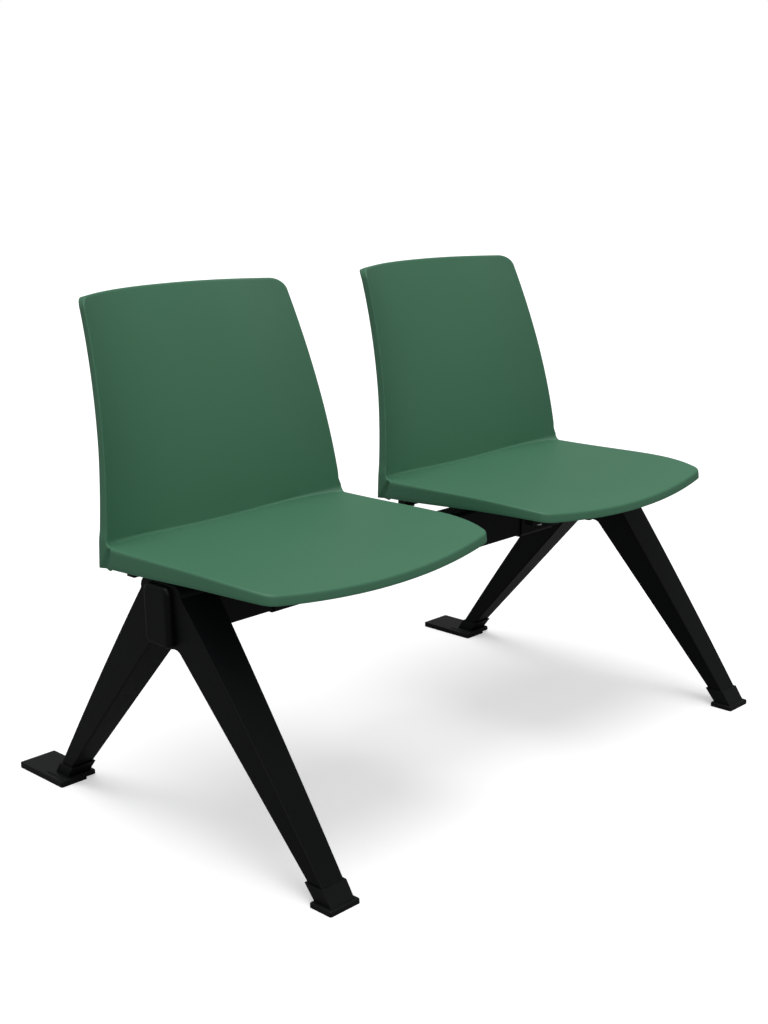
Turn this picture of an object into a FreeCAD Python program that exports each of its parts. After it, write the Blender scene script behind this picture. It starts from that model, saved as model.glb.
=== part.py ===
import FreeCAD, Part
import os

# Two-place beam seating: moulded shells on one steel beam, carried by two cast legs shaped like an
# upside-down V. Millimetres. X runs along the beam, -Y is the side the sitters face, +Z is up. The
# origin is on the floor under the middle of the whole bench. Left is the -X side.

Vec = FreeCAD.Vector
X_AXIS = Vec(1, 0, 0)
Z_AXIS = Vec(0, 0, 1)

# Driving dimensions of the bench
SEAT_PITCH = 600.0
LEG_SPACING = 1015.0
BENCH_DEPTH = 757.0
SEAT_HEIGHT = 437.0
SIDES = {"left": -1, "right": 1}

# Beam: a rectangular steel tube
BEAM_Y = -37.5
BEAM_DEPTH = 50.0
BEAM_HEIGHT = 73.0
BEAM_DROP = 39.0
BEAM_TOP = SEAT_HEIGHT - BEAM_DROP
BEAM_BOTTOM = BEAM_TOP - BEAM_HEIGHT
BEAM_WALL = 3.0
BEAM_CORNER = 6.0
SLIP = 0.2
CAP_OUT = 10.0
CAP_LIP_Y = 4.5
CAP_LIP_Z = 10.5
CAP_CORNER = 12.0
CAP_EDGE = 8.0
CAP_STEM = 12.0
CAP_STEM_WALL = 2.5

# Seat shell: width, depth and height of the sitting surfaces, wall and turned edges
SEAT_HALF_WIDTH = 246.6
TOP_HALF_WIDTH = 203.0
SEAT_DEPTH = 410.5
BACK_HEIGHT = 373.0
CREASE_Y = 120.0
SHELL_WALL = 5.0
CREASE_RADIUS = 5.0
FRONT_CORNER = 24.0
FRONT_BOW = 31.0
FRONT_DRAW = 20.0
FRONT_DRAW_LENGTH = 144.0
TOP_CORNER = 26.0
TOP_CROWN = 2.5
BACK_LEAN = 114.0
BACK_HOLLOW_FOOT = 37.5
BACK_HOLLOW_TOP = 89.0
SEAT_EDGE_REAR = 32.0
SEAT_EDGE_FRONT = 14.0
BACK_EDGE_FOOT = 21.0
BACK_EDGE_TOP = 9.5

# Cast leg: an upside-down V, as half spreads from the beam's centre line
LEG_TOE = 2.5
LEG_FOOT_DEPTH = 23.5
LEG_OUTER_FOOT = BENCH_DEPTH / 2 + BEAM_Y - LEG_TOE
LEG_OUTER_TOP = 42.8
LEG_INNER_FOOT = LEG_OUTER_FOOT - LEG_FOOT_DEPTH
LEG_INNER_TOP = -47.5
LEG_REFERENCE_Z = BEAM_TOP + 2.0
LEG_BOW = 4.0
LEG_TOP_Z = BEAM_TOP + 15.0
LEG_ARCH_Z = BEAM_BOTTOM - 13.0
LEG_END_Z = 14.0
LEG_HALF_WIDTH_FOOT = 20.0
LEG_HALF_WIDTH_TOP = 34.3
LEG_EDGE = 2.0
LEG_SHOULDER = 18.0
ARCH_RADIUS = 16.0
LEG_PAD_OUT = 34.9
LEG_PAD_INSET = 2.0
LEG_PAD_CORNER = 10.0
LEG_TAP_DEPTH = 10.5

# Boots and rear foot plates
BOOT_GAP = 0.3
BOOT_STAND = 2.2
BOOT_INNER_STAND_BASE = 7.0
BOOT_INNER_STAND_RIM = 3.6
BOOT_TOP = 31.0
FLANGE_HEIGHT = 8.0
FLANGE_HALF_WIDTH = 28.5
FLANGE_LENGTH = 43.5
FLANGE_CORNER = 3.0
FLANGE_EDGE = 2.5
REAR_FLANGE_HALF_LEFT = 32.5
REAR_FLANGE_LENGTH = 54.0
REAR_FLANGE_SETBACK = 2.5
PLATE_LEFT = 41.0
PLATE_RIGHT = 28.0
PLATE_LENGTH = 126.0
PLATE_THICKNESS = 9.5
PLATE_FLOOR = 3.0
PLATE_CORNER = 3.5
PLATE_EDGE = 1.5
PLATE_NOTCH_X = 8.0
FOOT_SCREW_SETBACK = 7.5
FOOT_SCREW_SINK = 1.0
FOOT_SCREW_GRIP = 9.0

# Under-seat carrier and beam clamp
CLAMP_HALF_WIDTH = 46.0
CLAMP_STEEL = 3.0
CLAMP_FLANGE = 22.0
RAIL_WIDTH = 20.0
RAIL_HEIGHT = 16.0
RAIL_WALL = 2.0
RAIL_X = 34.0
RAIL_FRONT_Y = -194.5
CROSS_BAR_DEPTH = 18.0
CROSS_BAR_HEIGHT = 14.0
REAR_BAR_Y = 84.5
FRONT_BAR_Y = -175.5
REAR_BAR_HALF = 203.0
FRONT_BAR_HALF = 160.0
BAR_SCREW_INSET = 24.0

# Fasteners: shank radius, head radius, head height
M6 = (3.0, 5.5, 4.0)
M8 = (4.0, 7.0, 5.3)
HOLE_PLAY = 0.5
THREAD_PLAY = 0.05
NUT_HEIGHT = 6.5
WASHER_HEIGHT = 1.6
WASHER_RADIUS = 8.0
INSERT_RADIUS = 4.2
INSERT_LENGTH = 12.0
BOSS_RADIUS = 9.0
CLAMP_BOLT_X = 10.5
LEG_BOLT_X = 14.0
NUT_PLATE_THICKNESS = 8.0
NUT_PLATE_HALF = (21.0, 17.0)

BIG = 1200.0
CARRIER_TOP = BEAM_TOP + CLAMP_STEEL
RAIL_TOP = CARRIER_TOP + RAIL_HEIGHT


def box(low, high):
    size = [h - l for l, h in zip(low, high)]
    return Part.makeBox(size[0], size[1], size[2], Vec(*low))


def cylinder(radius, base, length):
    return Part.makeCylinder(radius, length, Vec(*base), Z_AXIS)


def fuse_all(shapes):
    return shapes[0].multiFuse(shapes[1:]).removeSplitter() if len(shapes) > 1 else shapes[0]


def spline(points):
    curve = Part.BSplineCurve()
    curve.interpolate([Vec(*p) for p in points])
    return curve.toShape()


def middle_of(edge):
    return edge.valueAt((edge.FirstParameter + edge.LastParameter) / 2)


def polyline_edges(points):
    corners = [Vec(*p) for p in points]
    return [Part.makeLine(a, b) for a, b in zip(corners, corners[1:])]


def rounded_bar(low, high, radius):
    """A box along X whose four long edges are rounded."""
    solid = box(low, high)
    long_edges = [e for e in solid.Edges if abs(e.tangentAt(e.FirstParameter).x) > 0.99]
    return solid.makeFillet(radius, long_edges)


# Seat shell


def seat_surface_z(x, y, drop=0.0):
    """Height of the sitting surface: a shallow dish that falls away at the front."""
    dip, recovery, front_fall = 20.0, 30.0, 26.5
    side_lift, side_gain, side_fade = -0.8, 34.0, 22.5
    t = (CREASE_Y - y) / SEAT_DEPTH
    centre = -dip * t + recovery * t ** 2 - front_fall * t ** 4
    lift = side_lift + side_gain * t - side_fade * t ** 2
    return SEAT_HEIGHT + centre + lift * (x / SEAT_HALF_WIDTH) ** 2 - drop


def back_half_width(z):
    s = max(0.0, (z - SEAT_HEIGHT) / BACK_HEIGHT)
    taper = 0.95 * s + 0.25 * s ** 2 - 0.2 * s ** 3
    return SEAT_HALF_WIDTH - (SEAT_HALF_WIDTH - TOP_HALF_WIDTH) * taper


def back_surface_y(x, z, drop=0.0):
    """Depth of the back: it leans more and more towards the top and its sides come forward."""
    s = (z - SEAT_HEIGHT) / BACK_HEIGHT
    centre = BACK_LEAN * (0.47 * s + 0.53 * s ** 2)
    hollow = BACK_HOLLOW_FOOT + (BACK_HOLLOW_TOP - BACK_HOLLOW_FOOT) * (0.75 * s + 0.25 * s ** 2)
    return CREASE_Y + centre - hollow * (x / SEAT_HALF_WIDTH) ** 2 + drop


def cross_stations():
    """Five places across the seat that reach past its sides."""
    wide = SEAT_HALF_WIDTH * 1.2
    return [wide * i / 2.0 for i in (-2, -1, 0, 1, 2)]


def above_seat(drop):
    """Everything above the sitting surface lowered by drop(y)."""
    sections = []
    overlap = 120.0
    for x in cross_stations():
        stations = [CREASE_Y + overlap - SEAT_DEPTH * 1.5 * i / 9.0 for i in range(10)]
        line = [(x, y, seat_surface_z(x, y, drop(y))) for y in stations]
        lid = [line[-1], (x, stations[-1], BIG), (x, stations[0], BIG), line[0]]
        sections.append(Part.Wire([spline(line)] + polyline_edges(lid)))
    return Part.makeLoft(sections, True, False)


def before_back(drop):
    """Everything in front of the back surface moved rearwards by drop(z)."""
    sections = []
    overlap, headroom = 120.0, 60.0
    for i in range(8):
        z = SEAT_HEIGHT - overlap + (BACK_HEIGHT + overlap + headroom) * i / 7.0
        line = [(x, back_surface_y(x, z, drop(z)), z) for x in cross_stations()]
        lid = [line[-1], (line[-1][0], -BIG, z), (line[0][0], -BIG, z), line[0]]
        sections.append(Part.Wire([spline(line)] + polyline_edges(lid)))
    return Part.makeLoft(sections, True, False)


def sitter_space(depth):
    """The room that the sitter takes, grown by depth into the shell, with a rounded crease."""
    space = above_seat(lambda y: depth).common(before_back(lambda z: depth))
    creases = []
    near = 30.0
    for edge in space.Edges:
        spot = middle_of(edge)
        if abs(spot.x) < near and abs(spot.y - CREASE_Y) < near and abs(spot.z - SEAT_HEIGHT) < near:
            creases.append(edge)
    return space.makeFillet(CREASE_RADIUS + depth, creases)


def seat_plan(inset):
    """Plan outline of the seat as a tall prism: the sides draw in towards a bowed front."""
    half = SEAT_HALF_WIDTH - inset
    front = CREASE_Y - SEAT_DEPTH + inset
    corner_x = half - FRONT_DRAW
    corner_y = front + FRONT_BOW * (corner_x / half) ** 2
    rear = CREASE_Y + SEAT_DEPTH / 2
    steps = [i / 6.0 for i in range(7)]
    start_y = corner_y + FRONT_DRAW_LENGTH
    right = [(half - FRONT_DRAW * t ** 3, start_y - FRONT_DRAW_LENGTH * t, 0) for t in steps]
    left = [(-x, y, z) for x, y, z in reversed(right)]
    bow = Part.Arc(Vec(*right[-1]), Vec(0, front, 0), Vec(*left[0])).toShape()
    behind = polyline_edges([left[-1], (-half, rear, 0), (half, rear, 0), right[0]])
    prism = Part.Face(Part.Wire([spline(right), bow, spline(left)] + behind)).extrude(Vec(0, 0, BIG))
    corners = []
    for edge in prism.Edges:
        spot = middle_of(edge)
        if abs(spot.z - BIG / 2) < 1 and abs(spot.y - corner_y) < 1:
            corners.append(edge)
    return prism.makeFillet(FRONT_CORNER - inset, corners)


def back_front_view(inset):
    """Front-view outline of the back as a deep prism: tapered, crowned, with round corners."""
    top = SEAT_HEIGHT + BACK_HEIGHT - inset
    side_top = top - TOP_CROWN
    stations = [SEAT_HEIGHT + (side_top - SEAT_HEIGHT) * i / 4.0 for i in range(5)]
    right = [(back_half_width(z) - inset, -BIG, z) for z in stations]
    left = [(-x, y, z) for x, y, z in reversed(right)]
    foot = SEAT_HEIGHT - BACK_HEIGHT / 2
    half = SEAT_HALF_WIDTH - inset
    crown = Part.Arc(Vec(*right[-1]), Vec(0, -BIG, top), Vec(*left[0])).toShape()
    lower = polyline_edges([left[-1], (-half, -BIG, foot), (half, -BIG, foot), right[0]])
    outline = Part.Wire([spline(right), crown, spline(left)] + lower)
    prism = Part.Face(outline).extrude(Vec(0, 2 * BIG, 0))
    corners = []
    for edge in prism.Edges:
        spot = middle_of(edge)
        if abs(spot.y) < 1 and abs(spot.z - side_top) < 1:
            corners.append(edge)
    return prism.makeFillet(TOP_CORNER - inset, corners)


def seat_edge_depth(y):
    t = min(1.3, max(-0.3, (CREASE_Y - y) / SEAT_DEPTH))
    return SEAT_EDGE_REAR - (SEAT_EDGE_REAR - SEAT_EDGE_FRONT) * t


def back_edge_depth(z):
    s = (z - SEAT_HEIGHT) / BACK_HEIGHT
    return BACK_EDGE_FOOT - (BACK_EDGE_FOOT - BACK_EDGE_TOP) * s


def shell_boss_places():
    places = []
    for half, y in ((REAR_BAR_HALF, REAR_BAR_Y), (FRONT_BAR_HALF, FRONT_BAR_Y)):
        for side in (-1, 1):
            places.append((side * (half - BAR_SCREW_INSET), y))
    return places


def make_seat_shell():
    """One-piece moulded seat and back with a turned edge and four screw bosses underneath."""
    outline = seat_plan(0.0).common(back_front_view(0.0))
    body = outline.common(above_seat(seat_edge_depth)).common(before_back(back_edge_depth))
    body = body.cut(sitter_space(0.0))
    hollow = seat_plan(SHELL_WALL).common(back_front_view(SHELL_WALL)).cut(sitter_space(SHELL_WALL))
    shell = body.cut(hollow)
    for x, y in shell_boss_places():
        top = seat_surface_z(x, y) - SHELL_WALL / 2
        boss = cylinder(BOSS_RADIUS, (x, y, CARRIER_TOP), top - CARRIER_TOP)
        hole = cylinder(INSERT_RADIUS + THREAD_PLAY, (x, y, CARRIER_TOP), INSERT_LENGTH + 1.0)
        shell = shell.fuse(boss).cut(hole)
    return shell


def make_shell_inserts():
    inserts = []
    for x, y in shell_boss_places():
        insert = cylinder(INSERT_RADIUS, (x, y, CARRIER_TOP), INSERT_LENGTH)
        inserts.append(insert.cut(cylinder(M6[0] + THREAD_PLAY, (x, y, CARRIER_TOP), INSERT_LENGTH)))
    return inserts


def make_shell_screws():
    shank, head, head_height = M6
    under = CARRIER_TOP - CROSS_BAR_HEIGHT
    screws = []
    for x, y in shell_boss_places():
        length = CROSS_BAR_HEIGHT + INSERT_LENGTH - 1.0
        pan = cylinder(head, (x, y, under - head_height), head_height)
        socket = cylinder(shank * 0.8, (x, y, under - head_height), head_height * 0.55)
        screws.append(pan.cut(socket).fuse(cylinder(shank, (x, y, under), length)))
    return screws


# Under-seat carrier and beam clamp


def clamp_bolt_places():
    reach = BEAM_DEPTH / 2 + CLAMP_STEEL + CLAMP_FLANGE / 2 + 1.0
    return [(sx * CLAMP_BOLT_X, BEAM_Y + sy * reach) for sx in (-1, 1) for sy in (-1, 1)]


def make_carrier():
    """Steel plate on top of the beam with two hollow rails that run fore and aft."""
    half = CLAMP_HALF_WIDTH
    reach = BEAM_DEPTH / 2 + CLAMP_STEEL + CLAMP_FLANGE + 2.0
    plate = box((-half, BEAM_Y - reach, BEAM_TOP), (half, BEAM_Y + reach, CARRIER_TOP))
    shank = M8[0]
    for x, y in clamp_bolt_places():
        plate = plate.cut(cylinder(shank + HOLE_PLAY, (x, y, BEAM_TOP), CLAMP_STEEL))
    pieces = [plate]
    rail_rear = REAR_BAR_Y + CROSS_BAR_DEPTH / 2
    for side in (-1, 1):
        x0 = side * RAIL_X - RAIL_WIDTH / 2
        x1 = x0 + RAIL_WIDTH
        outer = box((x0, RAIL_FRONT_Y, CARRIER_TOP), (x1, rail_rear, RAIL_TOP))
        wall = RAIL_WALL
        inner = box((x0 + wall, RAIL_FRONT_Y, CARRIER_TOP + wall), (x1 - wall, rail_rear, RAIL_TOP - wall))
        pieces.append(outer.cut(inner))
    return fuse_all(pieces)


def make_cross_bar(half, y):
    """Rectangular tube under the rails; a shell screw passes up through each end."""
    z0 = CARRIER_TOP - CROSS_BAR_HEIGHT
    y0 = y - CROSS_BAR_DEPTH / 2
    y1 = y + CROSS_BAR_DEPTH / 2
    wall = RAIL_WALL
    bar = box((-half, y0, z0), (half, y1, CARRIER_TOP))
    bar = bar.cut(box((-half, y0 + wall, z0 + wall), (half, y1 - wall, CARRIER_TOP - wall)))
    for side in (-1, 1):
        x = side * (half - BAR_SCREW_INSET)
        bar = bar.cut(cylinder(M6[0] + HOLE_PLAY, (x, y, z0), CROSS_BAR_HEIGHT))
    return bar


def make_cross_bar_plugs():
    """Plastic plugs that close the ends of the cross bars."""
    plugs = []
    z0 = CARRIER_TOP - CROSS_BAR_HEIGHT
    lip = 2.0
    depth = 12.0
    wall = RAIL_WALL + SLIP
    for half, y in ((REAR_BAR_HALF, REAR_BAR_Y), (FRONT_BAR_HALF, FRONT_BAR_Y)):
        for side in (-1, 1):
            y0 = y - CROSS_BAR_DEPTH / 2
            y1 = y + CROSS_BAR_DEPTH / 2
            ends = sorted((side * half, side * (half + lip)))
            stem = sorted((side * half, side * (half - depth)))
            plate = box((ends[0], y0, z0), (ends[1], y1, CARRIER_TOP))
            core = box((stem[0], y0 + wall, z0 + wall), (stem[1], y1 - wall, CARRIER_TOP - wall))
            plugs.append(plate.fuse(core))
    return plugs


def make_clamp_strap():
    """Pressed strap that wraps the beam from below and is bolted up to the carrier."""
    half = CLAMP_HALF_WIDTH
    steel = CLAMP_STEEL
    reach = BEAM_DEPTH / 2
    low = (-half, BEAM_Y - reach - steel, BEAM_BOTTOM - steel)
    high = (half, BEAM_Y + reach + steel, BEAM_TOP + BEAM_HEIGHT / 2)
    trough = rounded_bar(low, high, BEAM_CORNER + steel)
    core_low = (-half, BEAM_Y - reach, BEAM_BOTTOM)
    core_high = (half, BEAM_Y + reach, BEAM_TOP + BEAM_HEIGHT / 2)
    trough = trough.cut(rounded_bar(core_low, core_high, BEAM_CORNER - 0.5))
    trough = trough.common(box((-half, -BIG, 0), (half, BIG, BEAM_TOP)))
    pieces = [trough]
    flange_z = BEAM_TOP - steel
    for side in (-1, 1):
        ends = sorted((BEAM_Y + side * (reach + steel), BEAM_Y + side * (reach + steel + CLAMP_FLANGE)))
        pieces.append(box((-half, ends[0], flange_z), (half, ends[1], BEAM_TOP)))
    strap = fuse_all(pieces)
    for x, y in clamp_bolt_places():
        strap = strap.cut(cylinder(M8[0] + HOLE_PLAY, (x, y, flange_z), steel))
    return strap


def hexagon(radius, place, height):
    corners = []
    for index in range(7):
        turn = FreeCAD.Rotation(Z_AXIS, 60.0 * index)
        corners.append(Vec(*place) + turn.multVec(Vec(radius, 0, 0)))
    return Part.Face(Part.makePolygon(corners)).extrude(Vec(0, 0, height))


def make_clamp_bolts():
    shank, head, head_height = M8
    under = BEAM_TOP - CLAMP_STEEL
    bolts = []
    for x, y in clamp_bolt_places():
        top = CARRIER_TOP + WASHER_HEIGHT + NUT_HEIGHT + 1.5
        bolt = hexagon(head, (x, y, under - head_height), head_height)
        bolts.append(bolt.fuse(cylinder(shank, (x, y, under), top - under)))
    return bolts


def make_clamp_nuts():
    nuts = []
    for x, y in clamp_bolt_places():
        nut = hexagon(M8[1], (x, y, CARRIER_TOP + WASHER_HEIGHT), NUT_HEIGHT)
        nuts.append(nut.cut(cylinder(M8[0] + THREAD_PLAY, (x, y, CARRIER_TOP), 2 * NUT_HEIGHT)))
    return nuts


def make_clamp_washers():
    washers = []
    for x, y in clamp_bolt_places():
        washer = cylinder(WASHER_RADIUS, (x, y, CARRIER_TOP), WASHER_HEIGHT)
        washers.append(washer.cut(cylinder(M8[0] + HOLE_PLAY, (x, y, CARRIER_TOP), WASHER_HEIGHT)))
    return washers


# Beam and its end caps


def leg_bolt_places():
    places = []
    for side in SIDES.values():
        for offset in (-LEG_BOLT_X, LEG_BOLT_X):
            places.append((side * LEG_SPACING / 2 + offset, BEAM_Y))
    return places


def make_beam():
    half = LEG_SPACING / 2 + LEG_PAD_OUT
    y0 = BEAM_Y - BEAM_DEPTH / 2
    y1 = BEAM_Y + BEAM_DEPTH / 2
    wall = BEAM_WALL
    outer = rounded_bar((-half, y0, BEAM_BOTTOM), (half, y1, BEAM_TOP), BEAM_CORNER)
    low = (-half, y0 + wall, BEAM_BOTTOM + wall)
    high = (half, y1 - wall, BEAM_TOP - wall)
    beam = outer.cut(rounded_bar(low, high, BEAM_CORNER - wall))
    for x, y in leg_bolt_places():
        beam = beam.cut(cylinder(M8[0] + HOLE_PLAY, (x, y, BEAM_BOTTOM), wall))
    return beam


def make_end_cap(side):
    """Pillow-shaped plastic cap with a hollow stem that plugs the beam's end."""
    face = LEG_SPACING / 2 + LEG_PAD_OUT
    half_y = BEAM_DEPTH / 2
    low = (face, BEAM_Y - half_y - CAP_LIP_Y, BEAM_BOTTOM - CAP_LIP_Z)
    high = (face + CAP_OUT, BEAM_Y + half_y + CAP_LIP_Y, BEAM_TOP + CAP_LIP_Z)
    pillow = rounded_bar(low, high, CAP_CORNER)
    rim = [e for e in pillow.Edges if min(v.X for v in e.Vertexes) > high[0] - 0.01]
    pillow = pillow.makeFillet(CAP_EDGE, rim)
    wall = BEAM_WALL + SLIP
    stem = tube_end(face, half_y - wall, BEAM_BOTTOM + wall, BEAM_TOP - wall)
    cap = pillow.fuse(stem)
    return cap if side > 0 else cap.mirror(Vec(0, 0, 0), X_AXIS)


def tube_end(face, half_y, z0, z1):
    """Open box behind a cap's face that fits inside a rectangular tube."""
    wall = CAP_STEM_WALL
    low = (face - CAP_STEM, BEAM_Y - half_y, z0)
    high = (face, BEAM_Y + half_y, z1)
    outer = rounded_bar(low, high, BEAM_CORNER - BEAM_WALL)
    room_low = (face - CAP_STEM, BEAM_Y - half_y + wall, z0 + wall)
    room_high = (face - wall, BEAM_Y + half_y - wall, z1 - wall)
    return outer.cut(box(room_low, room_high))


# Cast legs


def leg_half_width(z):
    return LEG_HALF_WIDTH_FOOT + (LEG_HALF_WIDTH_TOP - LEG_HALF_WIDTH_FOOT) * z / LEG_REFERENCE_Z


def leg_outer(z):
    t = z / LEG_REFERENCE_Z
    bow = 4.0 * LEG_BOW * t * (1.0 - t)
    return LEG_OUTER_FOOT + (LEG_OUTER_TOP - LEG_OUTER_FOOT) * t + bow


def leg_inner(z):
    return LEG_INNER_FOOT + (LEG_INNER_TOP - LEG_INNER_FOOT) * z / LEG_REFERENCE_Z


def leg_side_profile():
    """Side outline of the leg: two bowed outer lines, a rounded top and a rounded arch."""
    shoulder_z = LEG_TOP_Z - LEG_SHOULDER
    stations = [LEG_END_Z + (shoulder_z - LEG_END_Z) * i / 4.0 for i in range(5)]
    front = [(0, BEAM_Y - leg_outer(z), z) for z in stations]
    rear = [(0, BEAM_Y + leg_outer(z), z) for z in reversed(stations)]
    top_half = leg_outer(shoulder_z) - LEG_SHOULDER * 0.55
    front_top = Vec(0, BEAM_Y - top_half, LEG_TOP_Z)
    rear_top = Vec(0, BEAM_Y + top_half, LEG_TOP_Z)
    lean = (leg_outer(shoulder_z) + top_half) / 2 + 1.8
    bend_z = LEG_TOP_Z - LEG_SHOULDER * 0.34
    front_round = Part.Arc(Vec(*front[-1]), Vec(0, BEAM_Y - lean, bend_z), front_top).toShape()
    rear_round = Part.Arc(rear_top, Vec(0, BEAM_Y + lean, bend_z), Vec(*rear[0])).toShape()
    arch_half = leg_inner(LEG_ARCH_Z)
    inner_front = Vec(0, BEAM_Y - leg_inner(LEG_END_Z), LEG_END_Z)
    inner_rear = Vec(0, BEAM_Y + leg_inner(LEG_END_Z), LEG_END_Z)
    arch_front = Vec(0, BEAM_Y - arch_half, LEG_ARCH_Z)
    arch_rear = Vec(0, BEAM_Y + arch_half, LEG_ARCH_Z)
    edges = [
        spline(front),
        front_round,
        Part.makeLine(front_top, rear_top),
        rear_round,
        spline(rear),
        Part.makeLine(Vec(*rear[-1]), inner_rear),
        Part.makeLine(inner_rear, arch_rear),
        Part.makeLine(arch_rear, arch_front),
        Part.makeLine(arch_front, inner_front),
        Part.makeLine(inner_front, Vec(*front[0])),
    ]
    return Part.Face(Part.Wire(edges))


def make_leg(side):
    """Cast leg with drafted side faces, a head that the beam passes through and tapped feet."""
    slab_half = LEG_HALF_WIDTH_TOP * 2.0
    profile = leg_side_profile()
    profile.translate(Vec(-slab_half, 0, 0))
    slab = profile.extrude(Vec(2 * slab_half, 0, 0))
    arch_edges = []
    for edge in slab.Edges:
        spot = middle_of(edge)
        if abs(spot.x) < 1 and abs(spot.z - LEG_ARCH_Z) < 1:
            arch_edges.append(edge)
    slab = slab.makeFillet(ARCH_RADIUS, arch_edges)
    above = LEG_TOP_Z + LEG_SHOULDER
    low, high = leg_half_width(0.0), leg_half_width(above)
    sides = [(-low, -BIG, 0.0), (low, -BIG, 0.0), (high, -BIG, above), (-high, -BIG, above)]
    sides.append(sides[0])
    wedge = Part.Face(Part.makePolygon([Vec(*p) for p in sides])).extrude(Vec(0, 2 * BIG, 0))
    leg = slab.common(wedge)
    long_edges = []
    for edge in leg.Edges:
        spot = middle_of(edge)
        if abs(spot.x) > 5.0 and spot.z > LEG_END_Z + 1.0:
            long_edges.append(edge)
    leg = leg.makeFillet(LEG_EDGE, long_edges)
    pad_root = leg_half_width(BEAM_BOTTOM) - 2 * LEG_EDGE
    pad_y = BEAM_DEPTH / 2 + CAP_LIP_Y - LEG_PAD_INSET
    pad_z = CAP_LIP_Z - LEG_PAD_INSET
    pad_low = (pad_root, BEAM_Y - pad_y, BEAM_BOTTOM - pad_z)
    pad_high = (LEG_PAD_OUT, BEAM_Y + pad_y, BEAM_TOP + pad_z)
    leg = leg.fuse(rounded_bar(pad_low, pad_high, LEG_PAD_CORNER))
    gap_y = BEAM_DEPTH / 2 + SLIP
    bore_low = (-slab_half, BEAM_Y - gap_y, BEAM_BOTTOM - SLIP)
    bore_high = (slab_half, BEAM_Y + gap_y, BEAM_TOP + SLIP)
    leg = leg.cut(rounded_bar(bore_low, bore_high, BEAM_CORNER))
    for offset in (-LEG_BOLT_X, LEG_BOLT_X):
        leg = leg.cut(cylinder(M8[0] + HOLE_PLAY, (offset, BEAM_Y, LEG_ARCH_Z), BEAM_HEIGHT / 2))
    for direction in (-1, 1):
        tap = (0, foot_screw_y(direction), LEG_END_Z)
        leg = leg.cut(cylinder(M6[0] + THREAD_PLAY, tap, LEG_TAP_DEPTH))
    if side < 0:
        leg = leg.mirror(Vec(0, 0, 0), X_AXIS)
    leg.translate(Vec(side * LEG_SPACING / 2, 0, 0))
    return leg


def make_leg_bolts():
    shank, head, head_height = M8
    under = LEG_ARCH_Z - WASHER_HEIGHT
    length = BEAM_BOTTOM + BEAM_WALL + NUT_PLATE_THICKNESS - under
    bolts = []
    for x, y in leg_bolt_places():
        bolt = hexagon(head, (x, y, under - head_height), head_height)
        bolts.append(bolt.fuse(cylinder(shank, (x, y, under), length)))
    return bolts


def make_leg_washers():
    washers = []
    for x, y in leg_bolt_places():
        z = LEG_ARCH_Z - WASHER_HEIGHT
        washer = cylinder(WASHER_RADIUS, (x, y, z), WASHER_HEIGHT)
        washers.append(washer.cut(cylinder(M8[0] + HOLE_PLAY, (x, y, z), WASHER_HEIGHT)))
    return washers


def make_nut_plate(side):
    """Tapped plate inside the beam that the leg bolts pull against."""
    x = side * LEG_SPACING / 2
    z = BEAM_BOTTOM + BEAM_WALL
    half_x, half_y = NUT_PLATE_HALF
    plate = box((x - half_x, BEAM_Y - half_y, z), (x + half_x, BEAM_Y + half_y, z + NUT_PLATE_THICKNESS))
    for offset in (-LEG_BOLT_X, LEG_BOLT_X):
        plate = plate.cut(cylinder(M8[0] + THREAD_PLAY, (x + offset, BEAM_Y, z), NUT_PLATE_THICKNESS))
    return plate


# Boots and rear foot plates


def foot_screw_y(direction):
    return BEAM_Y + direction * (leg_inner(LEG_END_Z) + FOOT_SCREW_SETBACK)


def leg_section(direction, z, outer_grow, inner_grow):
    """Rectangle around the leg at height z, grown all round; direction is -1 front, 1 rear."""
    half = leg_half_width(z) + outer_grow
    near = BEAM_Y + direction * (leg_inner(z) - inner_grow)
    far = BEAM_Y + direction * (leg_outer(z) + outer_grow)
    corners = [(-half, near), (half, near), (half, far), (-half, far), (-half, near)]
    return Part.makePolygon([Vec(x, y, z) for x, y in corners])


def rounded_block(low, high, radius, top_radius):
    block = box(low, high)
    upright = [e for e in block.Edges if abs(e.tangentAt(e.FirstParameter).z) > 0.99]
    block = block.makeFillet(radius, upright)
    rim = [e for e in block.Edges if min(v.Z for v in e.Vertexes) > high[2] - 0.01]
    return block.makeFillet(top_radius, rim)


def flange_span(direction):
    if direction < 0:
        return -BENCH_DEPTH / 2, -BENCH_DEPTH / 2 + FLANGE_LENGTH
    start = BENCH_DEPTH / 2 - PLATE_LENGTH + REAR_FLANGE_SETBACK
    return start, start + REAR_FLANGE_LENGTH


def make_boot(direction):
    """Plastic boot that the leg's end stands in: a wide flange and a slanted sleeve."""
    y0, y1 = flange_span(direction)
    base = 0.0 if direction < 0 else PLATE_FLOOR
    left = FLANGE_HALF_WIDTH if direction < 0 else REAR_FLANGE_HALF_LEFT
    flange_low = (-left, y0, base)
    flange_high = (FLANGE_HALF_WIDTH, y1, base + FLANGE_HEIGHT)
    flange = rounded_block(flange_low, flange_high, FLANGE_CORNER, FLANGE_EDGE)
    foot = leg_section(direction, base, BOOT_STAND, BOOT_INNER_STAND_BASE)
    rim = leg_section(direction, BOOT_TOP, BOOT_STAND, BOOT_INNER_STAND_RIM)
    boot = flange.fuse(Part.makeLoft([foot, rim], True, True))
    above = BOOT_TOP + 5.0
    socket_foot = leg_section(direction, LEG_END_Z, BOOT_GAP, BOOT_GAP)
    socket_rim = leg_section(direction, above, BOOT_GAP, BOOT_GAP)
    boot = boot.cut(Part.makeLoft([socket_foot, socket_rim], True, True))
    screw_y = foot_screw_y(direction)
    shank, head, head_height = M6
    boot = boot.cut(cylinder(shank + HOLE_PLAY, (0, screw_y, base), LEG_END_Z - base))
    if direction < 0:
        recess = head_height + FOOT_SCREW_SINK
        boot = boot.cut(cylinder(head + HOLE_PLAY, (0, screw_y, base), recess))
    return boot


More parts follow.
